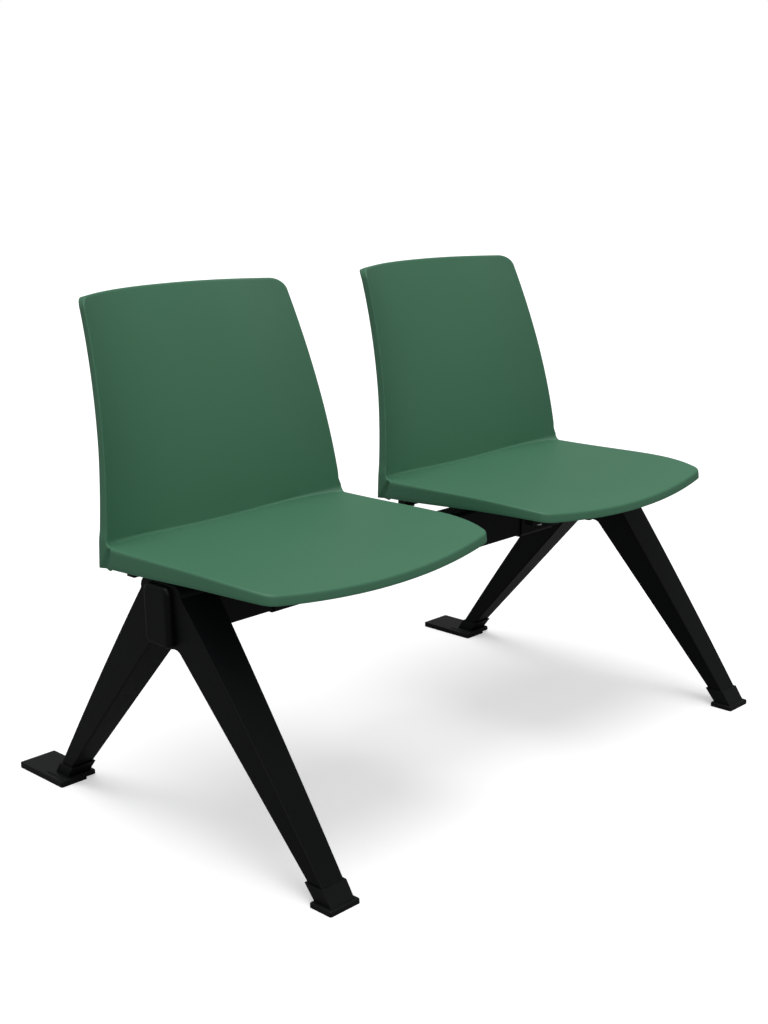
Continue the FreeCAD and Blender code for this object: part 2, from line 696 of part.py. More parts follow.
def make_foot_plate():
    """Flat floor plate with a notched pocket for the rear boot; both legs have the same one."""
    y1 = BENCH_DEPTH / 2
    y0 = y1 - PLATE_LENGTH
    corner = (PLATE_RIGHT, y1, PLATE_THICKNESS)
    plate = rounded_block((-PLATE_LEFT, y0, 0), corner, PLATE_CORNER, PLATE_EDGE)
    f0, f1 = flange_span(1)
    beyond = 2 * PLATE_RIGHT
    pocket_low = (-REAR_FLANGE_HALF_LEFT - BOOT_GAP, f0 - BOOT_GAP, PLATE_FLOOR)
    pocket_high = (beyond, f1 + BOOT_GAP, 2 * PLATE_THICKNESS)
    plate = plate.cut(box(pocket_low, pocket_high))
    notch_low = (PLATE_NOTCH_X, y0 - PLATE_LENGTH, 0)
    notch_high = (beyond, f1 + BOOT_GAP, 2 * PLATE_THICKNESS)
    plate = plate.cut(box(notch_low, notch_high))
    wide, narrow = M6[1] + HOLE_PLAY, M6[0] + HOLE_PLAY
    return plate.cut(Part.makeCone(wide, narrow, PLATE_FLOOR, Vec(0, foot_screw_y(1), 0)))


def make_foot_screws(direction):
    """Screws that pull the boots, and at the rear the plates, up against the leg ends."""
    shank, head, head_height = M6
    y = foot_screw_y(direction)
    screws = []
    for side in SIDES.values():
        x = side * LEG_SPACING / 2
        if direction < 0:
            under = head_height + FOOT_SCREW_SINK
            cap = cylinder(head, (x, y, FOOT_SCREW_SINK), head_height)
        else:
            under = PLATE_FLOOR
            cap = Part.makeCone(head, shank, PLATE_FLOOR, Vec(x, y, 0))
        screws.append(cap.fuse(cylinder(shank, (x, y, under), LEG_END_Z + FOOT_SCREW_GRIP - under)))
    return screws


# Assembly


def moved(shape, x):
    copy = shape.copy()
    copy.translate(Vec(x, 0, 0))
    return copy


def group_on_seats(solids):
    both = [moved(s, side * SEAT_PITCH / 2) for side in SIDES.values() for s in solids]
    return Part.makeCompound(both)


def build_nodes():
    nodes = {"beam": make_beam()}
    shell = make_seat_shell()
    carrier = make_carrier()
    strap = make_clamp_strap()
    boots = {"front": make_boot(-1), "rear": make_boot(1)}
    plate = make_foot_plate()
    for name, side in SIDES.items():
        seat_x = side * SEAT_PITCH / 2
        leg_x = side * LEG_SPACING / 2
        nodes["seat_shell_" + name] = moved(shell, seat_x)
        nodes["seat_carrier_" + name] = moved(carrier, seat_x)
        nodes["rear_cross_bar_" + name] = moved(make_cross_bar(REAR_BAR_HALF, REAR_BAR_Y), seat_x)
        nodes["front_cross_bar_" + name] = moved(make_cross_bar(FRONT_BAR_HALF, FRONT_BAR_Y), seat_x)
        nodes["clamp_strap_" + name] = moved(strap, seat_x)
        nodes["beam_end_cap_" + name] = make_end_cap(side)
        nodes["leg_" + name] = make_leg(side)
        nodes["nut_plate_" + name] = make_nut_plate(side)
        for place, boot in boots.items():
            nodes[place + "_boot_" + name] = moved(boot, leg_x)
        nodes["rear_foot_plate_" + name] = moved(plate, leg_x)
    nodes["shell_screws"] = group_on_seats(make_shell_screws())
    nodes["shell_inserts"] = group_on_seats(make_shell_inserts())
    nodes["cross_bar_plugs"] = group_on_seats(make_cross_bar_plugs())
    nodes["clamp_bolts"] = group_on_seats(make_clamp_bolts())
    nodes["clamp_washers"] = group_on_seats(make_clamp_washers())
    nodes["clamp_nuts"] = group_on_seats(make_clamp_nuts())
    nodes["leg_bolts"] = Part.makeCompound(make_leg_bolts())
    nodes["leg_washers"] = Part.makeCompound(make_leg_washers())
    nodes["front_boot_screws"] = Part.makeCompound(make_foot_screws(-1))
    nodes["rear_foot_screws"] = Part.makeCompound(make_foot_screws(1))
    return nodes


os.makedirs("parts", exist_ok=True)
for node, shape in build_nodes().items():
    bounds = shape.BoundBox
    print("%-24s solids %2d valid %s volume %8.1f cm3  x %.1f..%.1f  y %.1f..%.1f  z %.1f..%.1f" % (
        node, len(shape.Solids), shape.isValid(), shape.Volume / 1000.0,
        bounds.XMin, bounds.XMax, bounds.YMin, bounds.YMax, bounds.ZMin, bounds.ZMax))
    shape.exportStep("parts/" + node + ".step")
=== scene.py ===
import math

import bmesh
import bpy
import numpy as np
from mathutils import Matrix, Vector


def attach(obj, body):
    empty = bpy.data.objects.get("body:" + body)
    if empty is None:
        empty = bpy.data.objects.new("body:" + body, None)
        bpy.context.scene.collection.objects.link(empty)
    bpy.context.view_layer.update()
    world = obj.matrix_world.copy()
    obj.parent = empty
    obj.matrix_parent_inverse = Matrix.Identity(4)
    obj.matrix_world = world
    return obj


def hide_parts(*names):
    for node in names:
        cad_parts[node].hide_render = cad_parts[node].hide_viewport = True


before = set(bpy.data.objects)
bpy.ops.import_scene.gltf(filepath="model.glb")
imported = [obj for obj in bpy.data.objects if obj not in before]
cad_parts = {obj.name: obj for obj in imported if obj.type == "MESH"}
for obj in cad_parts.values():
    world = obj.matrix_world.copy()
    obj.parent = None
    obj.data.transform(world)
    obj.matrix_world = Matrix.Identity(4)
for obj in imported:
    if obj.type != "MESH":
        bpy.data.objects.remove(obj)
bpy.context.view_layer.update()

# Seat shells
# Each seat is one injection-moulded shell of green polypropylene, seat and back in one piece, with a
# tight crease between them and a turned edge all round. Four bosses underneath take its screws.

SEAT_PLACES = {"left": -0.300, "right": 0.300}
SEAT_HALF_WIDTH = 0.2466
TOP_HALF_WIDTH = 0.2030
BACK_TAPER = (0.95, 0.25, -0.20)
SEAT_HEIGHT = 0.437
BACK_HEIGHT = 0.3733
FRONT_Y = -0.2905
CREASE_Y = 0.1286
SEAT_DEPTH = CREASE_Y - FRONT_Y
# The sitting surface from the crease to the front: its middle line, then how its sides rise.
SEAT_SLOPE = -0.0180
SEAT_SWELL = 0.0285
SEAT_FRONT_FALL = -0.0270
SEAT_SIDE_LIFT = (0.0115, -0.0210, 0.0485, -0.0283)
CREASE_DIP = 0.0060
CREASE_DIP_FADE = 7.0
CREASE_RADIUS = 0.004
CREASE_END_ROUND = 0.008
CREASE_END_POWER = 8
# The wall, and the turned edge with its roundings.
SHELL_WALL = 0.005
EDGE_WALL = 0.0032
EDGE_FLARE = 0.0015
RIDGE_ROUND = 0.0042
REAR_RIDGE_ROUND = 0.0085
REAR_RIDGE_REACH = 0.16
REAR_RIDGE_TOP = 0.03
LIP_ROUND = 0.0012
ROOT_ROUND = 0.004
SEAT_EDGE_REAR = 0.0350
SEAT_EDGE_TAPER = 0.0190
SEAT_EDGE_TAPER_FRONT = 0.0015
BACK_EDGE_FOOT = 0.0205
BACK_EDGE_TOP = 0.0200
BACK_EDGE_DRAFT = 0.30
DRAFT_AT_FOOT = 0.45
DRAFT_GROWTH = 1.4
# The groove where the seat's edge and the back's edge meet.
MITRE_GROOVE = 0.0046
MITRE_PLACE = 0.30
MITRE_WIDTH = 0.12
# The outline of the seat's front and of the back's top.
FRONT_CORNER = 0.024
FRONT_CORNER_CUT = 0.53
FRONT_BOW = 0.031
FRONT_DRAW = 0.020
FRONT_DRAW_LENGTH = 0.144
TOP_CORNER = 0.022
TOP_CORNER_CUT = 0.88
TOP_CROWN = 0.0025
# How the back leans at its sides and hollows towards its middle.
SIDE_FOOT_Y = 0.0836
SIDE_LEAN = 0.0868
SIDE_LEAN_STEADY = 0.17
SIDE_LEAN_GROWING = 0.83
HOLLOW_FOOT = 0.0450
HOLLOW_TOP = 0.0636
HOLLOW_POWER = 2.4
HOLLOW_POWER_FOOT = 1.6
# How finely the mesh follows the surface.
COLUMNS = 68
COLUMN_CROWDING = 1.15
CORNER_STEPS = 10
ROWS_ROUND_TOP_CORNER = 8
DRAW_STEPS = 10
SEAT_SIDE_STEPS = 16
BACK_SIDE_STEPS = 31
CREASE_STEPS = 16
CREASE_SEARCH_ROUNDS = 40
SLOPE_STEP = 0.001


def seat_height(x, y):
    """Height of the sitting surface over a point of the plan."""
    t = (CREASE_Y - y) / SEAT_DEPTH
    dip = CREASE_DIP * np.exp(-CREASE_DIP_FADE * t)
    centre = SEAT_SLOPE * t + SEAT_SWELL * t ** 2 + SEAT_FRONT_FALL * t ** 4 - dip
    a, b, c, d = SEAT_SIDE_LIFT
    lift = a + b * t + c * t ** 2 + d * t ** 3
    return SEAT_HEIGHT + centre + lift * (x / SEAT_HALF_WIDTH) ** 2


def back_half_width(z):
    """Half the width of the back at a height; it narrows from the seat's width to the top's."""
    s = np.maximum(0.0, (z - SEAT_HEIGHT) / BACK_HEIGHT)
    a, b, c = BACK_TAPER
    return SEAT_HALF_WIDTH - (SEAT_HALF_WIDTH - TOP_HALF_WIDTH) * (a * s + b * s ** 2 + c * s ** 3)


def back_depth(x, z):
    """How far back the backrest lies at a point of the front view: a flat foot, a hollow top."""
    s = (z - SEAT_HEIGHT) / BACK_HEIGHT
    side = SIDE_FOOT_Y + SIDE_LEAN * (SIDE_LEAN_STEADY * s + SIDE_LEAN_GROWING * s ** 2)
    hollow = HOLLOW_FOOT + (HOLLOW_TOP - HOLLOW_FOOT) * s
    power = HOLLOW_POWER + HOLLOW_POWER_FOOT * (1 - np.clip(s, 0, 1)) ** 2
    return side + hollow * (1 - (np.abs(x) / back_half_width(z)) ** power)


def round_corner(start, corner, end, steps):
    """Points of the arc that rounds a corner, from start to end."""
    start, corner, end = (np.array(p, float) for p in (start, corner, end))
    first = (corner - start) / np.linalg.norm(corner - start)
    second = (end - corner) / np.linalg.norm(end - corner)
    turn = math.acos(max(-1.0, min(1.0, float(first @ second))))
    weight = math.cos(turn / 2)
    points = []
    for i in range(steps + 1):
        t = i / steps
        a, b, c = (1 - t) ** 2, 2 * weight * t * (1 - t), t ** 2
        points.append((a * start + b * corner + c * end) / (a + b + c))
    return np.array(points)


def seat_side_points(inset):
    """Right-hand border of the seat in plan, from the bowed front edge back to the crease."""
    half = SEAT_HALF_WIDTH - inset
    front = CREASE_Y - SEAT_DEPTH + inset
    corner_x = half - FRONT_DRAW
    rise = FRONT_BOW * (corner_x / half) ** 2
    corner_y = front + rise
    cut = (FRONT_CORNER - inset) * FRONT_CORNER_CUT
    front_x = corner_x - cut
    front_point = (front_x, front + rise * (front_x / corner_x) ** 2)
    t0 = 1.0 - cut / FRONT_DRAW_LENGTH
    side_point = (half - FRONT_DRAW * t0 ** 3, corner_y + FRONT_DRAW_LENGTH * (1 - t0))
    points = list(round_corner(front_point, (corner_x, corner_y), side_point, CORNER_STEPS))
    for i in range(1, DRAW_STEPS + 1):
        t = t0 * (1 - i / DRAW_STEPS)
        points.append((half - FRONT_DRAW * t ** 3, corner_y + FRONT_DRAW_LENGTH * (1 - t)))
    return np.array(points), front, half


def crease_line(x):
    """The sharp meeting line of seat and back over x, and the rounding's tangent points."""
    y = np.full_like(x, CREASE_Y)
    z = np.full_like(x, SEAT_HEIGHT)
    for _ in range(CREASE_SEARCH_ROUNDS):
        z = seat_height(x, y)
        y = back_depth(x, z)
    step = SLOPE_STEP
    slope_seat = (seat_height(x, y) - seat_height(x, y - step)) / step
    slope_back = (back_depth(x, z + step) - back_depth(x, z)) / step
    forward = np.stack([-np.ones_like(x), -slope_seat]) / np.sqrt(1 + slope_seat ** 2)
    upward = np.stack([slope_back, np.ones_like(x)]) / np.sqrt(1 + slope_back ** 2)
    angle = np.arccos(np.clip((forward * upward).sum(0), -1, 1))
    radius = CREASE_RADIUS + CREASE_END_ROUND * (x / SEAT_HALF_WIDTH) ** CREASE_END_POWER
    reach = radius / np.tan(angle / 2)
    return y, z, forward * reach, upward * reach, np.sin(angle / 2)


def top_side_points(inset):
    """Right-hand border of the back's top corner in front view, from the side to the crown."""
    top = SEAT_HEIGHT + BACK_HEIGHT - inset
    side_top = top - TOP_CROWN
    half = float(back_half_width(side_top)) - inset
    cut = (TOP_CORNER - inset) * TOP_CORNER_CUT
    side_point = (float(back_half_width(side_top - cut)) - inset, side_top - cut)
    top_x = half - cut
    top_point = (top_x, top - TOP_CROWN * (top_x / half) ** 2)
    return round_corner(side_point, (half, side_top), top_point, CORNER_STEPS), top


def seat_rows(u, half, border, front, crease_start):
    """Rows of the seat, from the bowed front edge back to where the crease starts to round."""
    last_y = border[-1, 1]
    end_y = crease_start[-1]
    steps = SEAT_SIDE_STEPS
    straight = [(half, last_y + (end_y - last_y) * (i / steps)) for i in range(1, steps + 1)]
    ends = np.vstack([border, np.array(straight)])
    part = (ends[:, 1] - ends[0, 1]) / (end_y - ends[0, 1])
    bow_front = ends[0, 1] - front
    bow_crease = end_y - crease_start[COLUMNS // 2]
    miss = crease_start - (end_y - bow_crease * (1 - u ** 2))
    rows = []
    for (x_end, y_end), f in zip(ends, part):
        bow = bow_front + (bow_crease - bow_front) * f
        x = u * x_end
        y = y_end - bow * (1 - u ** 2) + miss * f ** 3
        rows.append(np.stack([x, y, seat_height(x, y)], 1))
    return rows


def back_rows(u, half, crease_end, inset):
    """Rows of the back, from where the crease ends up to the crowned top."""
    corner, top = top_side_points(inset)
    low_z = crease_end[-1]
    sides = [(half, low_z)]
    for i in range(1, BACK_SIDE_STEPS):
        z = low_z + (corner[0, 1] - low_z) * (i / BACK_SIDE_STEPS)
        sides.append((float(back_half_width(z)) - inset, z))
    ends = np.vstack([np.array(sides), corner])
    part = (ends[:, 1] - low_z) / (ends[-1, 1] - low_z)
    rise_foot = crease_end[COLUMNS // 2] - low_z
    rise_top = top - ends[-1, 1]
    miss = crease_end - (low_z + rise_foot * (1 - u ** 2))
    rows = []
    for (x_end, z_end), g in zip(ends, part):
        rise = rise_foot + (rise_top - rise_foot) * g
        x = u * x_end
        z = z_end + rise * (1 - u ** 2) + miss * (1 - g) ** 3
        rows.append(np.stack([x, back_depth(x, z), z], 1))
    return rows


def shell_grid(inset):
    """Rows of points over the sitting surface, from the front edge over the crease to the top.

    Each row has its kind: seat, back, or how far round the crease it lies, from 0 to 1.
    """
    u = np.sin(np.linspace(-COLUMN_CROWDING, COLUMN_CROWDING, COLUMNS + 1)) / math.sin(COLUMN_CROWDING)
    border, front, half = seat_side_points(inset)
    crease_x = u * half
    cy, cz, to_seat, to_back, weight = crease_line(crease_x)
    rows = seat_rows(u, half, border, front, cy + to_seat[0])
    kinds = ["seat"] * len(rows)
    for i in range(1, CREASE_STEPS):
        t = i / CREASE_STEPS
        a, b, c = (1 - t) ** 2, 2 * weight * t * (1 - t), t ** 2
        y = (a * (cy + to_seat[0]) + b * cy + c * (cy + to_back[0])) / (a + b + c)
        z = (a * (cz + to_seat[1]) + b * cz + c * (cz + to_back[1])) / (a + b + c)
        rows.append(np.stack([crease_x, y, z], 1))
        kinds.append(t)
    back = back_rows(u, half, cz + to_back[1], inset)
    return np.array(rows + back), kinds + ["back"] * len(back)


def grid_normals(grid):
    """Unit normals of a grid of points, towards the sitter."""
    along = np.gradient(grid, axis=0)
    across = np.gradient(grid, axis=1)
    normal = np.cross(across, along)
    return normal / np.linalg.norm(normal, axis=2, keepdims=True)


def border_loop(count):
    """Row and column of each border point, once round: front, right side, top, left side."""
    loop = [(0, c) for c in range(COLUMNS + 1)]
    loop += [(r, COLUMNS) for r in range(1, count)]
    loop += [(count - 1, c) for c in range(COLUMNS - 1, -1, -1)]
    loop += [(r, 0) for r in range(count - 2, 0, -1)]
    return loop


def edge_vectors(sharp, kinds, loop):
    """For each border point: outward direction, edge depth and the depth of the groove in the mitre."""
    outward, edge, groove = [], [], []
    first_crease = kinds.count("seat")
    last_crease = first_crease + CREASE_STEPS - 2
    size = len(loop)
    for k, (r, c) in enumerate(loop):
        here = sharp[r, c]
        before = sharp[loop[k - 1]]
        after = sharp[loop[(k + 1) % size]]
        kind = kinds[r]
        side = -1.0 if c == 0 else 1.0
        run = after - before
        if kind == "seat":
            normal = np.array([run[1], -run[0], 0.0])
            t = (CREASE_Y - here[1]) / SEAT_DEPTH
            draft = 0.0
            fall = SEAT_EDGE_REAR - SEAT_EDGE_TAPER * t - SEAT_EDGE_TAPER_FRONT * t ** 2
            depth = np.array([0.0, 0.0, -fall])
        elif kind == "back":
            normal = np.array([run[2], 0.0, -run[0]])
            s = (here[2] - SEAT_HEIGHT) / BACK_HEIGHT
            depth = np.array([0.0, BACK_EDGE_FOOT + (BACK_EDGE_TOP - BACK_EDGE_FOOT) * s, 0.0])
            draft = BACK_EDGE_DRAFT * min(1.0, DRAFT_AT_FOOT + DRAFT_GROWTH * s)
        else:
            normal = np.array([side, 0.0, 0.0])
            draft = BACK_EDGE_DRAFT * DRAFT_AT_FOOT * max(0.0, 2 * kind - 1)
            low, high = sharp[first_crease - 1, c], sharp[last_crease + 1, c]
            corner_y, corner_z = high[1] + BACK_EDGE_FOOT, low[2] - SEAT_EDGE_REAR
            lip_y = low[1] + (corner_y - low[1]) * min(1.0, 2 * kind)
            lip_z = corner_z + (high[2] - corner_z) * max(0.0, 2 * kind - 1)
            depth = np.array([0.0, lip_y - here[1], lip_z - here[2]])
        if kind != "seat" and c in (0, COLUMNS) and r < len(kinds) - ROWS_ROUND_TOP_CORNER:
            normal = np.array([side * abs(normal[0]), 0.0, normal[2]])
        normal = normal / np.linalg.norm(normal)
        depth = depth - draft * depth[1] * normal
        outward.append(normal)
        edge.append(depth)
        in_crease = kind not in ("seat", "back")
        share = math.exp(-((kind - MITRE_PLACE) / MITRE_WIDTH) ** 2) if in_crease else 0.0
        groove.append(MITRE_GROOVE * share)
    return np.array(outward), np.array(edge), np.array(groove)[:, None]


def bend(start, corner, end, t):
    """A point of the smooth bend that leaves start and reaches end along the lines to the corner."""
    return (1 - t) ** 2 * start + 2 * t * (1 - t) * corner + t ** 2 * end


def shell_rings():
    """Rings of points that lead from the sitting surface round the edge to the hidden side."""
    ridge, kinds = shell_grid(RIDGE_ROUND)
    sharp, _ = shell_grid(0.0)
    hidden, _ = shell_grid(SHELL_WALL + ROOT_ROUND)
    hidden = hidden - grid_normals(hidden) * SHELL_WALL
    root, _ = shell_grid(SHELL_WALL)
    root = root - grid_normals(root) * SHELL_WALL
    loop = border_loop(len(kinds))
    rows, cols = np.array(loop).T
    outward, edge, groove = edge_vectors(sharp, kinds, loop)
    depth = np.linalg.norm(edge, axis=1, keepdims=True)
    down = edge / depth
    top = sharp[rows, cols]
    near_crease = np.clip(1 - np.abs(top[:, 1:2] - SIDE_FOOT_Y) / REAR_RIDGE_REACH, 0, 1)
    rear = near_crease * (top[:, 2:3] < SEAT_HEIGHT + REAR_RIDGE_TOP)
    turn = RIDGE_ROUND + (REAR_RIDGE_ROUND - RIDGE_ROUND) * rear ** 2
    flare = outward * EDGE_FLARE
    shoulder = top + down * turn + flare * (turn / depth) - outward * groove
    lip = top + edge + flare - outward * groove
    inner_lip = lip - outward * EDGE_WALL
    root_top = root[rows, cols]
    root_low = root_top + down * ROOT_ROUND
    rings = []
    for t in (0.2, 0.4, 0.6, 0.8):
        rings.append(bend(ridge[rows, cols], top, shoulder, t))
    rings.append(shoulder)
    for t in (0.3, 0.65):
        rings.append(shoulder + (lip - down * LIP_ROUND - shoulder) * t)
    rings.append(lip - down * LIP_ROUND)
    rings.append(bend(lip - down * LIP_ROUND, lip, lip - outward * LIP_ROUND, 0.5))
    rings.append(lip - outward * LIP_ROUND)
    rings.append(inner_lip + outward * LIP_ROUND * 0.6)
    rings.append(inner_lip - down * LIP_ROUND)
    rings.append(root_low + (inner_lip - down * LIP_ROUND - root_low) * 0.5)
    rings.append(root_low)
    for t in (0.3, 0.6):
        rings.append(bend(root_low, root_top, hidden[rows, cols], t))
    return ridge, rings, hidden, loop


BOSS_PLACES = ((0.179, 0.0845), (0.136, -0.1755))
BOSS_FOOT_Z = 0.401
BOSS_RADIUS = 0.0090
BOSS_ROOT_RADIUS = 0.0130
BOSS_HOLE_RADIUS = 0.0043
BOSS_HOLE_DEPTH = 0.014
BOSS_SEGMENTS = 28


def boss_profile(top):
    """Half section of a screw boss, from its hole's end round the foot to its root."""
    foot, hole, outer, root = BOSS_FOOT_Z, BOSS_HOLE_RADIUS, BOSS_RADIUS, BOSS_ROOT_RADIUS
    end = foot + BOSS_HOLE_DEPTH
    return [(0.0, end), (hole, end), (hole, foot + 0.0004), (hole + 0.0004, foot),
            (outer - 0.0006, foot), (outer, foot + 0.0006), (outer + 0.0006, top - 0.005),
            (outer + 0.0015, top - 0.0025), (root, top - 0.0004), (root, top + 0.0015), (0.0, top + 0.0015)]


def add_lathe(bm, profile, centre, segments):
    """Turns a half section about a vertical line through centre."""
    rings = []
    for radius, z in profile:
        if radius == 0.0:
            rings.append([bm.verts.new((centre[0], centre[1], z))])
            continue
        ring = []
        for i in range(segments):
            a = 2 * math.pi * i / segments
            x = centre[0] + radius * math.cos(a)
            y = centre[1] + radius * math.sin(a)
            ring.append(bm.verts.new((x, y, z)))
        rings.append(ring)
    for one, two in zip(rings, rings[1:]):
        for i in range(segments):
            j = (i + 1) % segments
            if len(one) == 1:
                bm.faces.new((one[0], two[i], two[j]))
            elif len(two) == 1:
                bm.faces.new((one[i], two[0], one[j]))
            else:
                bm.faces.new((one[i], two[i], two[j], one[j]))


def finish_mesh(name, bm, material, sharp_angle):
    """Makes a mesh object with smooth faces, outward normals and its place in its vertices."""
    bmesh.ops.recalc_face_normals(bm, faces=bm.faces)
    for face in bm.faces:
        face.smooth = True
    limit = math.radians(sharp_angle)
    for edge in bm.edges:
        edge.smooth = len(edge.link_faces) == 2 and edge.calc_face_angle(0.0) < limit
    mesh = bpy.data.meshes.new(name)
    bm.to_mesh(mesh)
    bm.free()
    mesh.materials.append(material)
    piece = bpy.data.objects.new(name, mesh)
    bpy.context.scene.collection.objects.link(piece)
    return piece


SHELL_SHARP_ANGLE = 50.0


def make_shell(name, seat_x, material):
    """One closed shell: the sitting side, the hidden side, the edge between them and the bosses."""
    front, rings, hidden, loop = shell_rings()
    bm = bmesh.new()

    def lay(grid):
        return [[bm.verts.new((p[0] + seat_x, p[1], p[2])) for p in row] for row in grid]

    def fill(verts):
        for low, high in zip(verts, verts[1:]):
            for c in range(COLUMNS):
                bm.faces.new((low[c], low[c + 1], high[c + 1], high[c]))

    outer = lay(front)
    inner = lay(hidden)
    fill(outer)
    fill(inner)
    strips = [[outer[r][c] for r, c in loop]]
    strips += [[bm.verts.new((p[0] + seat_x, p[1], p[2])) for p in ring] for ring in rings]
    strips.append([inner[r][c] for r, c in loop])
    size = len(loop)
    for one, two in zip(strips, strips[1:]):
        for k in range(size):
            n = (k + 1) % size
            bm.faces.new((one[k], two[k], two[n], one[n]))
    for half, y in BOSS_PLACES:
        for side in (-1, 1):
            top = float(seat_height(side * half, y)) - SHELL_WALL
            add_lathe(bm, boss_profile(top), (seat_x + side * half, y), BOSS_SEGMENTS)
    return finish_mesh(name, bm, material, SHELL_SHARP_ANGLE)


def new_material(name):
    """An empty material with its Principled shader."""
    material = bpy.data.materials.new(name)
    material.use_nodes = True
    nodes = material.node_tree.nodes
    nodes.clear()
    output = nodes.new("ShaderNodeOutputMaterial")
    shader = nodes.new("ShaderNodeBsdfPrincipled")
    material.node_tree.links.new(shader.outputs["BSDF"], output.inputs["Surface"])
    return material, shader


TONE_DRIFT_SCALE = 5.5


def surface_grain_group():
    """Fine moulded or sprayed grain: two sizes of noise as a height, and a slow drift as a tone."""
    group = bpy.data.node_groups.new("surface_grain", "ShaderNodeTree")
    group.interface.new_socket("Fine scale", in_out="INPUT", socket_type="NodeSocketFloat")
    group.interface.new_socket("Coarse scale", in_out="INPUT", socket_type="NodeSocketFloat")
    group.interface.new_socket("Coarse share", in_out="INPUT", socket_type="NodeSocketFloat")
    group.interface.new_socket("Height", in_out="OUTPUT", socket_type="NodeSocketFloat")
    group.interface.new_socket("Tone", in_out="OUTPUT", socket_type="NodeSocketFloat")
    nodes, links = group.nodes, group.links
    inside = nodes.new("NodeGroupInput")
    outside = nodes.new("NodeGroupOutput")
    place = nodes.new("ShaderNodeTexCoord")
    fine = nodes.new("ShaderNodeTexNoise")
    fine.inputs["Detail"].default_value = 2.0
    coarse = nodes.new("ShaderNodeTexNoise")
    coarse.inputs["Detail"].default_value = 3.0
    drift = nodes.new("ShaderNodeTexNoise")
    drift.inputs["Scale"].default_value = TONE_DRIFT_SCALE
    drift.inputs["Detail"].default_value = 4.0
    blend = nodes.new("ShaderNodeMix")
    blend.data_type = "FLOAT"
    for texture in (fine, coarse, drift):
        links.new(place.outputs["Object"], texture.inputs["Vector"])
    links.new(inside.outputs["Fine scale"], fine.inputs["Scale"])
    links.new(inside.outputs["Coarse scale"], coarse.inputs["Scale"])
    links.new(inside.outputs["Coarse share"], blend.inputs[0])
    links.new(fine.outputs["Fac"], blend.inputs[2])
    links.new(coarse.outputs["Fac"], blend.inputs[3])
    links.new(blend.outputs[0], outside.inputs["Height"])
    links.new(drift.outputs["Fac"], outside.inputs["Tone"])
    return group


SURFACE_GRAIN = surface_grain_group()
GRAIN_LOW = 0.3
GRAIN_HIGH = 0.7


def grained_material(name, dark, light, rough, grain, bump, specular=0.5):
    """A plastic or coating: colour drifts between dark and light, with a fine raised grain.

    rough is the lowest and highest roughness, grain the fine scale, the coarse scale and the coarse
    share, and bump the strength and the height of the grain in metres.
    """
    material, shader = new_material(name)
    nodes, links = material.node_tree.nodes, material.node_tree.links
    group = nodes.new("ShaderNodeGroup")
    group.node_tree = SURFACE_GRAIN
    group.inputs["Fine scale"].default_value = grain[0]
    group.inputs["Coarse scale"].default_value = grain[1]
    group.inputs["Coarse share"].default_value = grain[2]
    colour = nodes.new("ShaderNodeMix")
    colour.data_type = "RGBA"
    colour.inputs[6].default_value = (*dark, 1)
    colour.inputs[7].default_value = (*light, 1)
    links.new(group.outputs["Tone"], colour.inputs[0])
    links.new(colour.outputs[2], shader.inputs["Base Color"])
    spread = nodes.new("ShaderNodeMapRange")
    spread.inputs["From Min"].default_value = GRAIN_LOW
    spread.inputs["From Max"].default_value = GRAIN_HIGH
    spread.inputs["To Min"].default_value = rough[0]
    spread.inputs["To Max"].default_value = rough[1]
    links.new(group.outputs["Height"], spread.inputs["Value"])
    links.new(spread.outputs["Result"], shader.inputs["Roughness"])
    relief = nodes.new("ShaderNodeBump")
    relief.inputs["Strength"].default_value = bump[0]
    relief.inputs["Distance"].default_value = bump[1]
    links.new(group.outputs["Height"], relief.inputs["Height"])
    links.new(relief.outputs["Normal"], shader.inputs["Normal"])
    shader.inputs["Specular IOR Level"].default_value = specular
    return material


GREEN_SHELL = grained_material(
    "green_polypropylene", (0.053, 0.184, 0.102), (0.062, 0.202, 0.113), (0.48, 0.60),
    (1400.0, 420.0, 0.35), (0.35, 0.0002))

for side_name, seat_x in SEAT_PLACES.items():
    shell = make_shell("shell_" + side_name, seat_x, GREEN_SHELL)
    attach(shell, "root")
    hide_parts("seat_shell_" + side_name)


# Steel beam, brackets and carriers
# A rectangular steel tube carries both seats. Under each seat a pressed strap wraps the tube and is
# bolted up to a plate with two rails and two cross bars. All of it is black powder-coated steel.

BLACK_STEEL = grained_material(
    "black_powder_coat", (0.0030, 0.0032, 0.0040), (0.0045, 0.0048, 0.0056), (0.42, 0.55),
    (900.0, 260.0, 0.6), (0.30, 0.00025), 0.16)


def dress(names, material):
    """Gives these nodes of the solid model their material."""
    for name in names:
        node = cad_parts[name]
        node.data.materials.clear()
        node.data.materials.append(material)


STEEL_PARTS = ["beam"]
for side_name in SEAT_PLACES:
    for part in ("seat_carrier_", "rear_cross_bar_", "front_cross_bar_", "clamp_strap_"):
        STEEL_PARTS.append(part + side_name)
dress(STEEL_PARTS, BLACK_STEEL)


# Cast legs
# Each leg is one aluminium casting like an upside-down V with drafted faces and rounded edges, dressed
# and then powder-coated black. The beam passes through its head.

CAST_BLACK = grained_material(
    "coated_casting", (0.0030, 0.0033, 0.0038), (0.0048, 0.0052, 0.0058), (0.40, 0.52),
    (700.0, 120.0, 0.5), (0.30, 0.0003), 0.16)

dress(["leg_" + side_name for side_name in SEAT_PLACES], CAST_BLACK)


# End caps, boots, foot plates and plugs
# Black plastic mouldings with a fine matt texture close the beam's ends and the cross bars, and stand
# between the castings and the floor.

BLACK_PLASTIC = grained_material(
    "black_moulding", (0.0042, 0.0046, 0.0050), (0.0064, 0.0070, 0.0076), (0.40, 0.52),
    (1500.0, 300.0, 0.3), (0.30, 0.0002), 0.20)

